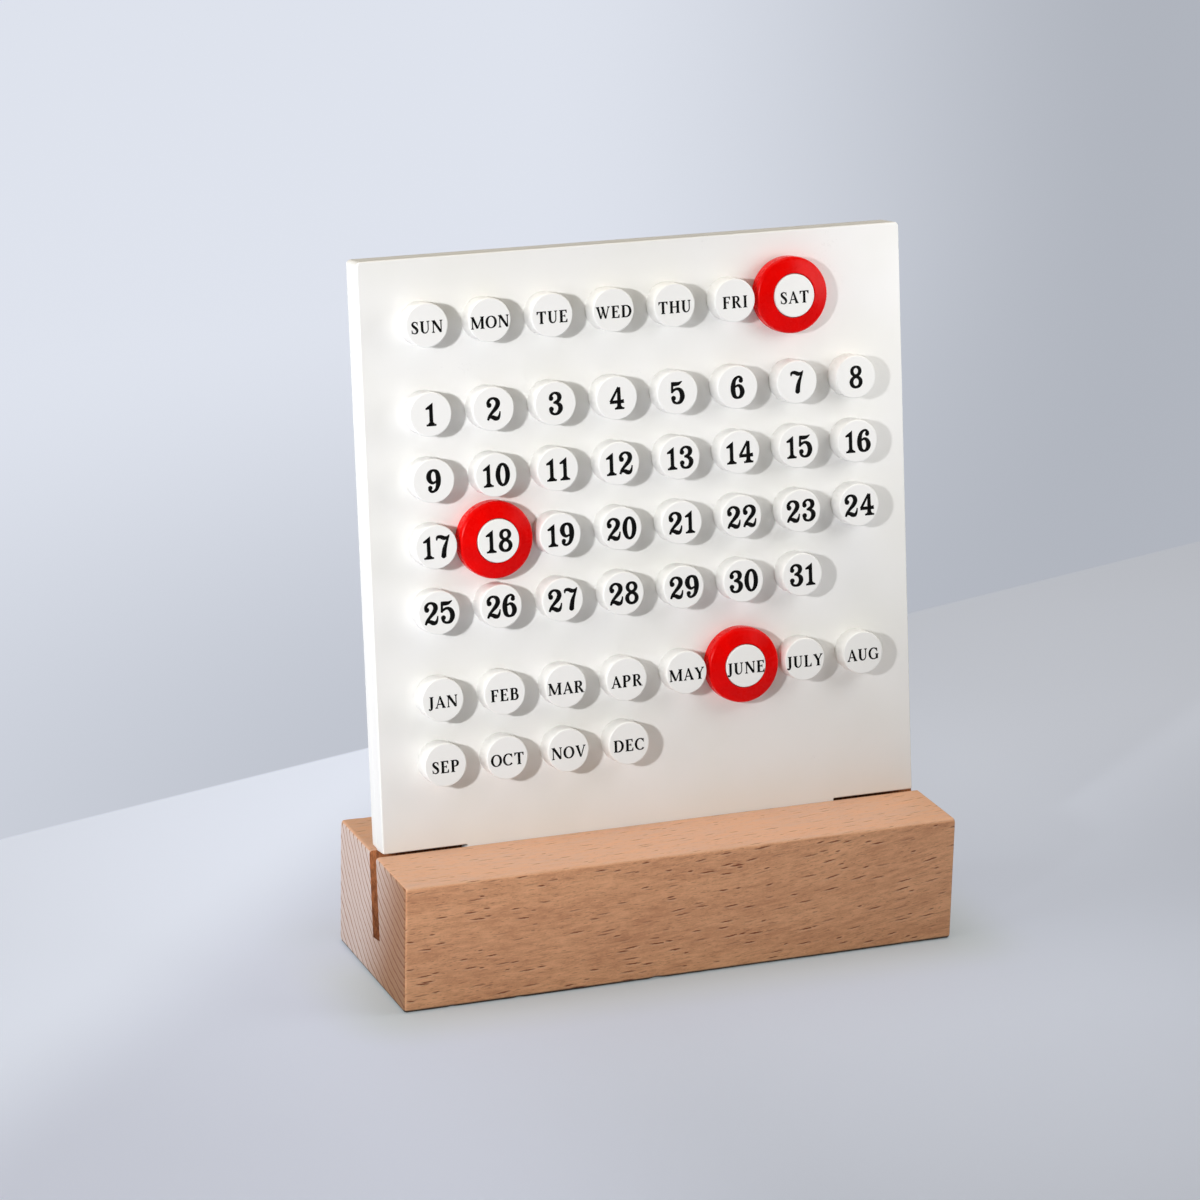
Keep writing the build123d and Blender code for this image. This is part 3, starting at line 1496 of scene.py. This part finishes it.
def stem(x: float = LEFT, width: float = STEM, ends: Sequence[End] = tuple(End)) -> list[Mark]:
    """Draws an upright stem with its serifs.

    Args:
        x: Its middle.
        width: Its width.
        ends: Which ends have a serif.

    Returns:
        Its marks.
    """
    marks: list[Mark] = [line((x, 0.02, width), (x, 0.98, width))]
    for end in ends:
        marks += serif(x, end, width)
    return marks


def arm(end: float, level: float, rise: float) -> list[Mark]:
    """Draws a thin arm from the left stem, which ends in a wedge.

    Args:
        end: Where it ends.
        level: Its height.
        rise: How far the wedge stands above the arm, less than 0 where it hangs.

    Returns:
        Its marks.
    """
    tip = level + rise
    wedge = Patch(((end - 0.16, level), (end, level), (end + 0.01, tip), (end - 0.04, tip)))
    return [hair(LEFT, end, level), wedge]


def middle_arm(level: float) -> list[Mark]:
    """Draws the short arm of an E or F, with the tooth at its end."""
    above, below = level + 0.12, level - 0.12
    tooth = Patch(((0.42, level), (0.51, above), (0.54, above), (0.54, below), (0.51, below)))
    return [hair(LEFT, 0.53, level), tooth]


def open_round() -> list[Mark]:
    """Draws the round of a C or G, with the beak at its head."""
    beak = Patch(((0.74, 0.97), (0.79, 0.97), (0.80, 0.66), (0.76, 0.66), (0.66, 0.86)))
    return [Bowl(0.47, 0.5, 0.385, 0.465, 48, 318, 0.17), beak]


def six(turned: bool = False) -> Glyph:
    """Draws a 6, or the 9 that it makes when it is turned over.

    Args:
        turned: Turned over.

    Returns:
        The glyph.
    """
    width = 0.61
    spine = (
        (0.50, 0.82, 0.13), (0.44, 0.93, 0.10), (0.33, 0.955, 0.09), (0.18, 0.85, 0.13),
        (0.10, 0.62, 0.175), (0.09, 0.36, 0.185), (0.15, 0.13, 0.15), (0.31, 0.045, 0.09),
        (0.46, 0.13, 0.15), (0.52, 0.31, 0.185), (0.46, 0.50, 0.15), (0.34, 0.585, 0.10),
        (0.21, 0.54, 0.07), (0.15, 0.47, 0.04),
    )
    x, y, radius = 0.465, 0.79, 0.09
    if turned:
        spine = tuple((width - x, 1.0 - y, pen) for x, y, pen in spine)
        x, y = width - x, 1.0 - y
    return Glyph(width, [curve(*spine), dot(x, y, radius)])


NUMERALS: dict[str, Glyph] = {
    "0": Glyph(0.62, [Bowl(0.31, 0.5, 0.222, 0.452, thick=0.175, thin=0.095)]),
    "1": Glyph(0.5, [
        Patch(((0.35, 0.03), (0.35, 1.0), (0.185, 0.885), (0.185, 0.03))),
        Patch(((0.35, 1.0), (0.02, 0.775), (0.035, 0.705), (0.20, 0.72))),
        slab(0.045, 0.49, 0.0, 0.085),
        Patch(((0.10, 0.08), (0.44, 0.08), (0.35, 0.17), (0.185, 0.17))),
    ]),
    "2": Glyph(0.64, [
        curve(
            (0.08, 0.68, 0.10), (0.09, 0.80, 0.12), (0.18, 0.92, 0.10), (0.33, 0.955, 0.09),
            (0.48, 0.87, 0.15), (0.525, 0.72, 0.175), (0.45, 0.55, 0.16), (0.28, 0.37, 0.12),
            (0.13, 0.20, 0.10), (0.055, 0.03, 0.08),
        ),
        dot(0.13, 0.67, 0.10),
        curve(
            (0.08, 0.09, 0.06), (0.16, 0.155, 0.10), (0.27, 0.15, 0.14), (0.39, 0.09, 0.16),
            (0.51, 0.09, 0.13), (0.585, 0.22, 0.08), (0.615, 0.38, 0.045),
        ),
    ]),
    "3": Glyph(0.62, [
        curve(
            (0.08, 0.74, 0.10), (0.10, 0.83, 0.11), (0.19, 0.93, 0.09), (0.32, 0.955, 0.09),
            (0.46, 0.88, 0.15), (0.50, 0.75, 0.17), (0.43, 0.61, 0.13), (0.22, 0.53, 0.07),
        ),
        dot(0.12, 0.73, 0.095),
        curve(
            (0.22, 0.53, 0.05), (0.40, 0.50, 0.11), (0.52, 0.38, 0.17), (0.525, 0.23, 0.175),
            (0.43, 0.09, 0.13), (0.29, 0.045, 0.09), (0.15, 0.09, 0.10), (0.085, 0.21, 0.12),
        ),
        dot(0.115, 0.27, 0.10),
    ]),
    "4": Glyph(0.69, [
        line((0.445, 0.03, 0.16), (0.445, 0.965, 0.12)),
        line((0.43, 0.97, 0.08), (0.05, 0.335, 0.10)),
        line((0.02, 0.33, 0.12), (0.50, 0.335, 0.12), (0.67, 0.35, 0.14)),
        slab(0.24, 0.68, 0.0, 0.085),
        Patch(((0.29, 0.08), (0.62, 0.08), (0.525, 0.17), (0.365, 0.17))),
    ]),
    "5": Glyph(0.62, [
        curve((0.03, 0.89, 0.15), (0.20, 0.885, 0.15), (0.36, 0.895, 0.12), (0.53, 0.985, 0.03)),
        line((0.075, 0.95, 0.09), (0.055, 0.50, 0.09)),
        curve(
            (0.03, 0.50, 0.05), (0.13, 0.61, 0.09), (0.29, 0.67, 0.10), (0.44, 0.60, 0.15),
            (0.52, 0.44, 0.18), (0.52, 0.27, 0.18), (0.43, 0.10, 0.14), (0.28, 0.045, 0.09),
            (0.14, 0.10, 0.10), (0.085, 0.22, 0.12),
        ),
        dot(0.115, 0.27, 0.10),
    ]),
    "6": six(),
    "7": Glyph(0.62, [
        curve(
            (0.03, 0.78, 0.04), (0.06, 0.91, 0.10), (0.20, 0.93, 0.13), (0.36, 0.86, 0.15),
            (0.50, 0.88, 0.10), (0.61, 0.99, 0.03),
        ),
        curve((0.585, 0.94, 0.05), (0.48, 0.70, 0.10), (0.37, 0.40, 0.16), (0.32, 0.05, 0.19)),
        dot(0.32, 0.095, 0.095),
    ]),
    "8": Glyph(0.60, [
        Bowl(0.30, 0.755, 0.192, 0.195, thick=0.14, thin=0.09),
        Bowl(0.30, 0.275, 0.222, 0.228, thick=0.155, thin=0.095),
    ]),
    "9": six(turned=True),
}

CAPITALS: dict[str, Glyph] = {
    "A": Glyph(0.88, [
        line((0.44, 0.99, HAIR), (0.13, 0.03, HAIR)),
        line((0.42, 1.0, 0.12), (0.75, 0.03, STEM)),
        hair(0.23, 0.62, 0.33),
        *serif(0.13, End.FOOT, HAIR, 0.10),
        *serif(0.75, End.FOOT, STEM, 0.07),
    ]),
    "B": Glyph(0.82, [
        *stem(),
        hair(LEFT, 0.40, 0.965),
        Bowl(0.39, 0.75, 0.20, 0.215, 90, -90, 0.16),
        hair(LEFT, 0.42, 0.53),
        Bowl(0.41, 0.285, 0.25, 0.25, 90, -90, 0.17),
        hair(LEFT, 0.42, 0.035),
    ]),
    "C": Glyph(0.86, open_round()),
    "D": Glyph(0.92, [
        *stem(),
        hair(LEFT, 0.41, 0.965),
        Bowl(0.40, 0.5, 0.40, 0.465, 90, -90),
        hair(LEFT, 0.41, 0.035),
    ]),
    "E": Glyph(0.76, [*stem(), *arm(0.67, 0.965, -0.22), *arm(0.71, 0.035, 0.24), *middle_arm(0.52)]),
    "F": Glyph(0.70, [*stem(), *arm(0.67, 0.965, -0.22), *middle_arm(0.51)]),
    "G": Glyph(0.96, [
        *open_round(),
        line((0.76, 0.06, 0.16), (0.76, 0.42, 0.16)),
        slab(0.60, 0.92, 0.42, 0.47),
    ]),
    "H": Glyph(0.96, [*stem(), *stem(0.76), hair(LEFT, 0.76, 0.51)]),
    "I": Glyph(0.40, stem()),
    "J": Glyph(0.46, [
        line((0.27, 0.12, STEM), (0.27, 0.98, STEM)),
        *serif(0.27, End.HEAD),
        curve((0.27, 0.16, STEM), (0.245, 0.0, 0.14), (0.16, -0.08, 0.09), (0.06, -0.07, 0.08)),
        dot(0.07, -0.035, 0.065),
    ]),
    "L": Glyph(0.74, [*stem(), *arm(0.68, 0.035, 0.26)]),
    "M": Glyph(1.18, [
        *stem(0.15, HAIR, [End.FOOT]),
        *serif(0.13, End.HEAD, 0.10, 0.07),
        line((0.17, 0.98, 0.17), (0.57, 0.06, 0.15)),
        line((0.57, 0.04, HAIR), (0.97, 0.97, HAIR)),
        *stem(1.00),
    ]),
    "N": Glyph(0.96, [
        *stem(0.16, HAIR, [End.FOOT]),
        *serif(0.14, End.HEAD, 0.10, 0.07),
        line((0.18, 0.98, STEM), (0.80, 0.04, 0.16)),
        *stem(0.82, HAIR, [End.HEAD]),
    ]),
    "O": Glyph(0.94, [Bowl(0.47, 0.5, 0.38, 0.468, thin=0.065)]),
    "P": Glyph(0.78, [
        *stem(),
        hair(LEFT, 0.40, 0.965),
        Bowl(0.39, 0.725, 0.24, 0.24, 90, -90, 0.17),
        hair(LEFT, 0.40, 0.485),
    ]),
    "R": Glyph(0.90, [
        *stem(),
        hair(LEFT, 0.40, 0.965),
        Bowl(0.39, 0.74, 0.225, 0.225, 90, -90, 0.165),
        hair(LEFT, 0.42, 0.515),
        line((0.40, 0.53, 0.12), (0.74, 0.04, 0.17)),
        slab(0.66, 0.90, 0.0, 0.05),
    ]),
    "S": Glyph(0.62, [
        curve(
            (0.53, 0.76, 0.05), (0.46, 0.91, 0.07), (0.31, 0.965, 0.07), (0.15, 0.89, 0.12),
            (0.12, 0.74, 0.16), (0.25, 0.59, 0.18), (0.42, 0.44, 0.18), (0.51, 0.27, 0.16),
            (0.45, 0.10, 0.11), (0.29, 0.035, 0.07), (0.13, 0.10, 0.07), (0.055, 0.26, 0.05),
        ),
        line((0.525, 0.97, 0.035), (0.54, 0.70, 0.045)),
        line((0.065, 0.03, 0.035), (0.05, 0.32, 0.045)),
    ]),
    "T": Glyph(0.86, [
        *stem(0.43, STEM, [End.FOOT]),
        hair(0.03, 0.83, 0.965),
        Patch(((0.02, 1.0), (0.20, 0.96), (0.075, 0.74), (0.03, 0.74))),
        Patch(((0.84, 1.0), (0.66, 0.96), (0.785, 0.74), (0.83, 0.74))),
    ]),
    "U": Glyph(0.88, [
        line((0.20, 0.36, STEM), (0.20, 0.98, STEM)),
        *serif(0.20, End.HEAD),
        Bowl(0.44, 0.37, 0.24, 0.335, 180, 270, STEM, 0.08),
        Bowl(0.44, 0.37, 0.27, 0.335, 270, 360, HAIR, 0.08),
        line((0.71, 0.36, HAIR), (0.71, 0.98, HAIR)),
        *serif(0.71, End.HEAD, HAIR, 0.10),
    ]),
    "V": Glyph(0.92, [
        line((0.17, 0.98, STEM), (0.47, 0.02, 0.12)),
        line((0.48, 0.03, HAIR), (0.79, 0.98, HAIR)),
        *serif(0.17, End.HEAD, STEM, 0.07),
        *serif(0.79, End.HEAD, HAIR, 0.09),
    ]),
    "W": Glyph(1.24, [
        line((0.16, 0.98, 0.17), (0.43, 0.02, 0.12)),
        line((0.44, 0.03, HAIR), (0.68, 0.90, HAIR)),
        line((0.58, 0.98, 0.17), (0.85, 0.02, 0.12)),
        line((0.86, 0.03, HAIR), (1.12, 0.98, HAIR)),
        *serif(0.16, End.HEAD, 0.17, 0.07),
        *serif(0.58, End.HEAD, 0.17, 0.05),
        *serif(1.12, End.HEAD, HAIR, 0.08),
    ]),
    "Y": Glyph(0.88, [
        line((0.16, 0.98, 0.16), (0.45, 0.46, 0.16)),
        line((0.74, 0.98, HAIR), (0.48, 0.48, HAIR)),
        line((0.45, 0.02, STEM), (0.45, 0.50, STEM)),
        *serif(0.16, End.HEAD, 0.16, 0.07),
        *serif(0.74, End.HEAD, HAIR, 0.09),
        *serif(0.45, End.FOOT),
    ]),
}


@dataclass(frozen=True)
class Typeface:
    """An alphabet with its size and spacing."""

    glyphs: Mapping[str, Glyph]
    height: float
    weight: float  # how many times as wide as drawn the pen is
    tracking: float  # space between two letters, in heights
    drop: float = 0.0  # how far below a peg's middle the word stands

    def width(self, word: str) -> float:
        """Gives a word's width in heights."""
        return sum(self.glyphs[letter].width for letter in word) + self.tracking * (len(word) - 1)


Inked = tuple[list[Vector], list[list[int]]]


@dataclass
class Print:
    """The ink on the pegs' faces: weekdays, dates and months, as thin closed slabs."""

    lean: Lean
    pegs: PegField
    finish: InkFinish = field(default_factory=InkFinish)
    proud: float = 0.03
    sunk: float = 0.02
    least_area: float = 1e-5  # of a triangle that counts, in square heights
    weld: float = 1e-5  # how close two points of a glyph lie to be one, in heights
    numerals: Typeface = Typeface(NUMERALS, 5.8, 1.22, 0.11)
    capitals: Typeface = Typeface(CAPITALS, 3.05, 1.2, 0.11, 0.45)

    def __post_init__(self) -> None:
        """Starts with no glyph drawn."""
        self.drawn: dict[str, Inked] = {}

    @staticmethod
    def word(node: str) -> str:
        """Gives what is printed on a peg, from its name."""
        name = node.removeprefix("peg_")
        return str(int(name)) if name.isdigit() else {"jun": "JUNE", "jul": "JULY"}.get(name, name.upper())

    def _glyph(self, face: Typeface, letter: str) -> Inked:
        """Joins a glyph's marks into one outline, cut into triangles.

        Args:
            face: The typeface.
            letter: The glyph.

        Returns:
            Its points in heights, and its triangles.
        """
        if letter not in self.drawn:
            points: list[Vector] = []
            patches = []
            for mark in face.glyphs[letter].marks:
                for patch in mark.patches(face.weight):
                    first, *rest = (Vector(point) for point in patch)
                    for second, third in zip(rest, rest[1:]):
                        area = (second - first).cross(third - first)
                        if abs(area) > self.least_area:
                            patches.append(list(range(len(points), len(points) + 3)))
                            points += [first, second, third] if area > 0 else [first, third, second]
            joined, _, triangles, _, _, sources = geometry.delaunay_2d_cdt(
                points, [], patches, 0, self.weld, True
            )
            inked = [list(triangle) for triangle, within in zip(triangles, sources) if within]
            self.drawn[letter] = (joined, inked)
        return self.drawn[letter]

    def build(self) -> None:
        """Adds the print."""
        build = bmesh.new()
        for name in self.pegs.names:
            word = self.word(name)
            face = self.numerals if word.isdigit() else self.capitals
            centre = self.pegs.centres[name]
            x = centre.x - face.width(word) * face.height / 2
            y = centre.y - face.height / 2 - face.drop
            for letter in word:
                self._stamp(build, self._glyph(face, letter), Vector((x, y)), face.height)
                x += (face.glyphs[letter].width + face.tracking) * face.height
        build.transform(self.lean.matrix())
        mesh = into_mesh(build, "print")
        mesh.materials.append(self.finish.material())
        add_piece("print", mesh, "panel", [])

    def _stamp(self, build: bmesh.types.BMesh, inked: Inked, place: Vector, height: float) -> None:
        """Adds one glyph as a closed slab on a peg's face.

        Args:
            build: The mesh being built.
            inked: The glyph's points in heights, and its triangles.
            place: Its lower left corner.
            height: Its height.
        """
        points, triangles = inked
        level = self.pegs.height - self.sunk
        ground = {}
        for k in sorted({index for triangle in triangles for index in triangle}):
            x, y = place.x + points[k].x * height, place.y + points[k].y * height
            ground[k] = build.verts.new((x, y, level))
        faces = [build.faces.new([ground[k] for k in reversed(triangle)]) for triangle in triangles]
        made = bmesh.ops.extrude_face_region(build, geom=faces, use_keep_orig=True)
        raised = [item for item in made["geom"] if isinstance(item, bmesh.types.BMVert)]
        bmesh.ops.translate(build, verts=raised, vec=(0, 0, self.proud + self.sunk))


# ---------------------------------------------------------------------------------------- studio


@dataclass(frozen=True)
class Lamp:
    """A round soft lamp, or a spot where it has a cone."""

    name: str
    place: Place
    aim: Place
    size: float  # its diameter
    power: float  # in watts
    colour: Colour
    cone: float = 0.0  # half the angle of a spot's cone, in degrees

    def build(self) -> None:
        """Adds the lamp."""
        data = bpy.data.lights.new(self.name, "SPOT" if self.cone else "AREA")
        if self.cone:
            data.shadow_soft_size = self.size / 2 * MM
            data.spot_size = math.radians(2 * self.cone)
            data.spot_blend = 1.0
        else:
            data.shape = "DISK"
            data.size = self.size * MM
        data.energy = self.power
        data.color = self.colour[:3]
        place, aim = Vector(self.place), Vector(self.aim)
        turn = (place - aim).to_track_quat("Z", "Y").to_matrix().to_4x4()
        add_object(self.name, data).matrix_world = Matrix.Translation(place * MM) @ turn


@dataclass
class Studio:
    """Camera, lamps, sky and table."""

    lean: Lean
    target: Place = (-14.91, 0.19, 93.75)
    distance: float = 1117.5
    azimuth: float = 22.10
    elevation: float = 18.32
    roll: float = 1.242
    lens: float = 133.84
    clip: Point = (0.05, 20.0)  # in metres
    key_from: Place = (0.0, 80.0, 0.0)  # in the panel's frame, where the key lamp is measured from
    key_way: Place = (-1.15, 0.3, 1.0)  # which way it stands from there, in the same frame
    key_aim: Place = (-100.0, 101.0, 0.0)  # where it points, in the same frame
    key_distance: float = 900.0
    plain: Colour = srgb(253, 253, 255)
    warm: Colour = srgb(255, 248, 238)
    sky: Colour = srgb(255, 235, 192)
    sky_light: float = 0.145
    backdrop: Colour = srgb(214, 219, 230)  # what the camera sees past the table
    table_half: float = 3.0  # in metres

    def build(self) -> None:
        """Adds everything round the object."""
        self._camera()
        for lamp in self._lamps():
            lamp.build()
        self._sky()
        self._table()

    def _camera(self) -> None:
        """Adds the camera."""
        data = bpy.data.cameras.new("camera")
        data.lens = self.lens
        data.clip_start, data.clip_end = self.clip
        azimuth, elevation, roll = (math.radians(a) for a in (self.azimuth, self.elevation, self.roll))
        level = math.cos(elevation)
        back = Vector((-math.sin(azimuth) * level, -math.cos(azimuth) * level, math.sin(elevation)))
        right = Vector((math.cos(azimuth), -math.sin(azimuth), 0.0))
        up = back.cross(right)
        turned_right = right * math.cos(roll) + up * math.sin(roll)
        turned_up = up * math.cos(roll) - right * math.sin(roll)
        turn = Matrix((turned_right, turned_up, back)).transposed().to_4x4()
        place = Vector(self.target) + back * self.distance
        camera = add_object("camera", data)
        camera.matrix_world = Matrix.Translation(place * MM) @ turn
        bpy.context.scene.camera = camera

    def _lamps(self) -> list[Lamp]:
        """Sets out the lamps.

        Returns:
            The lamps, the key lamp first.
        """
        to_world = self.lean.matrix()
        start, aim = (to_world @ Vector(place) * PER_METRE for place in (self.key_from, self.key_aim))
        way = (to_world.to_3x3() @ Vector(self.key_way)).normalized()
        key = tuple(start + way * self.key_distance)
        return [
            Lamp("key", key, tuple(aim), size=55.0, power=24.3, colour=self.plain, cone=11.0),
            Lamp("left", (-1500.0, 0.0, 600.0), (0.0, 0.0, 80.0), 1200.0, 7.0, self.plain),
            Lamp("right", (150.0, -70.0, 200.0), (40.0, 0.0, 130.0), 140.0, 0.15, self.plain),
            Lamp("overhead", (0.0, 150.0, 1300.0), (0.0, 0.0, 100.0), 900.0, 5.7, self.warm),
        ]

    def _sky(self) -> None:
        """Gives even light from all round, and a pale backdrop past the table."""
        world = bpy.data.worlds.new("sky")
        world.use_nodes = True
        world.node_tree.nodes.clear()
        g = Graph(world.node_tree)
        light = g.node("ShaderNodeBackground", {}, {"Color": self.sky, "Strength": self.sky_light})
        pale = g.node("ShaderNodeBackground", {}, {"Color": self.backdrop, "Strength": 1.0})
        seen = g.out(g.node("ShaderNodeLightPath"), "Is Camera Ray")
        both = g.node("ShaderNodeMixShader", {}, {0: seen, 1: g.out(light), 2: g.out(pale)})
        g.node("ShaderNodeOutputWorld", {}, {"Surface": g.out(both)})
        bpy.context.scene.world = world

    def _table(self) -> None:
        """Adds the table top."""
        half = self.table_half
        corners = [(-half, -half, 0), (half, -half, 0), (half, half, 0), (-half, half, 0)]
        mesh = bpy.data.meshes.new("table")
        mesh.from_pydata(corners, [], [(0, 1, 2, 3)])
        half_length, half_depth, _ = (side * PER_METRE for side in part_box("wood_base")[1])
        mesh.materials.append(TableFinish(block_half=(half_length, half_depth)).material())
        add_object("table", mesh)


MARKERS = (
    ("ring_day", "day_marker", "peg_sat"),
    ("ring_date", "date_marker", "peg_18"),
    ("ring_month", "month_marker", "peg_jun"),
)


def main() -> None:
    """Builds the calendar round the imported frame."""
    logging.basicConfig(level=logging.INFO, format="%(name)s: %(message)s")
    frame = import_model()
    nodes = frame["nodes"]
    lean = Lean.of(frame, "wood_base", "front_panel")
    Studio(lean).build()

    BeechBlock(lean, nodes["front_panel"]).build()
    Panel(lean, nodes).build()
    tree = TurnedPieces()
    pegs = PegField(lean, nodes, tree)
    pegs.build()
    Print(lean, pegs).build()
    red = RingFinish().material()
    for node, body, peg in MARKERS:
        ring = MarkerRing(f"{body}_ring", nodes[node], body, pegs.centres[peg], pegs.radius)
        ring.build(lean, tree, red)

    bpy.context.scene.view_settings.view_transform = "Standard"


if __name__ == "__main__":
    main()
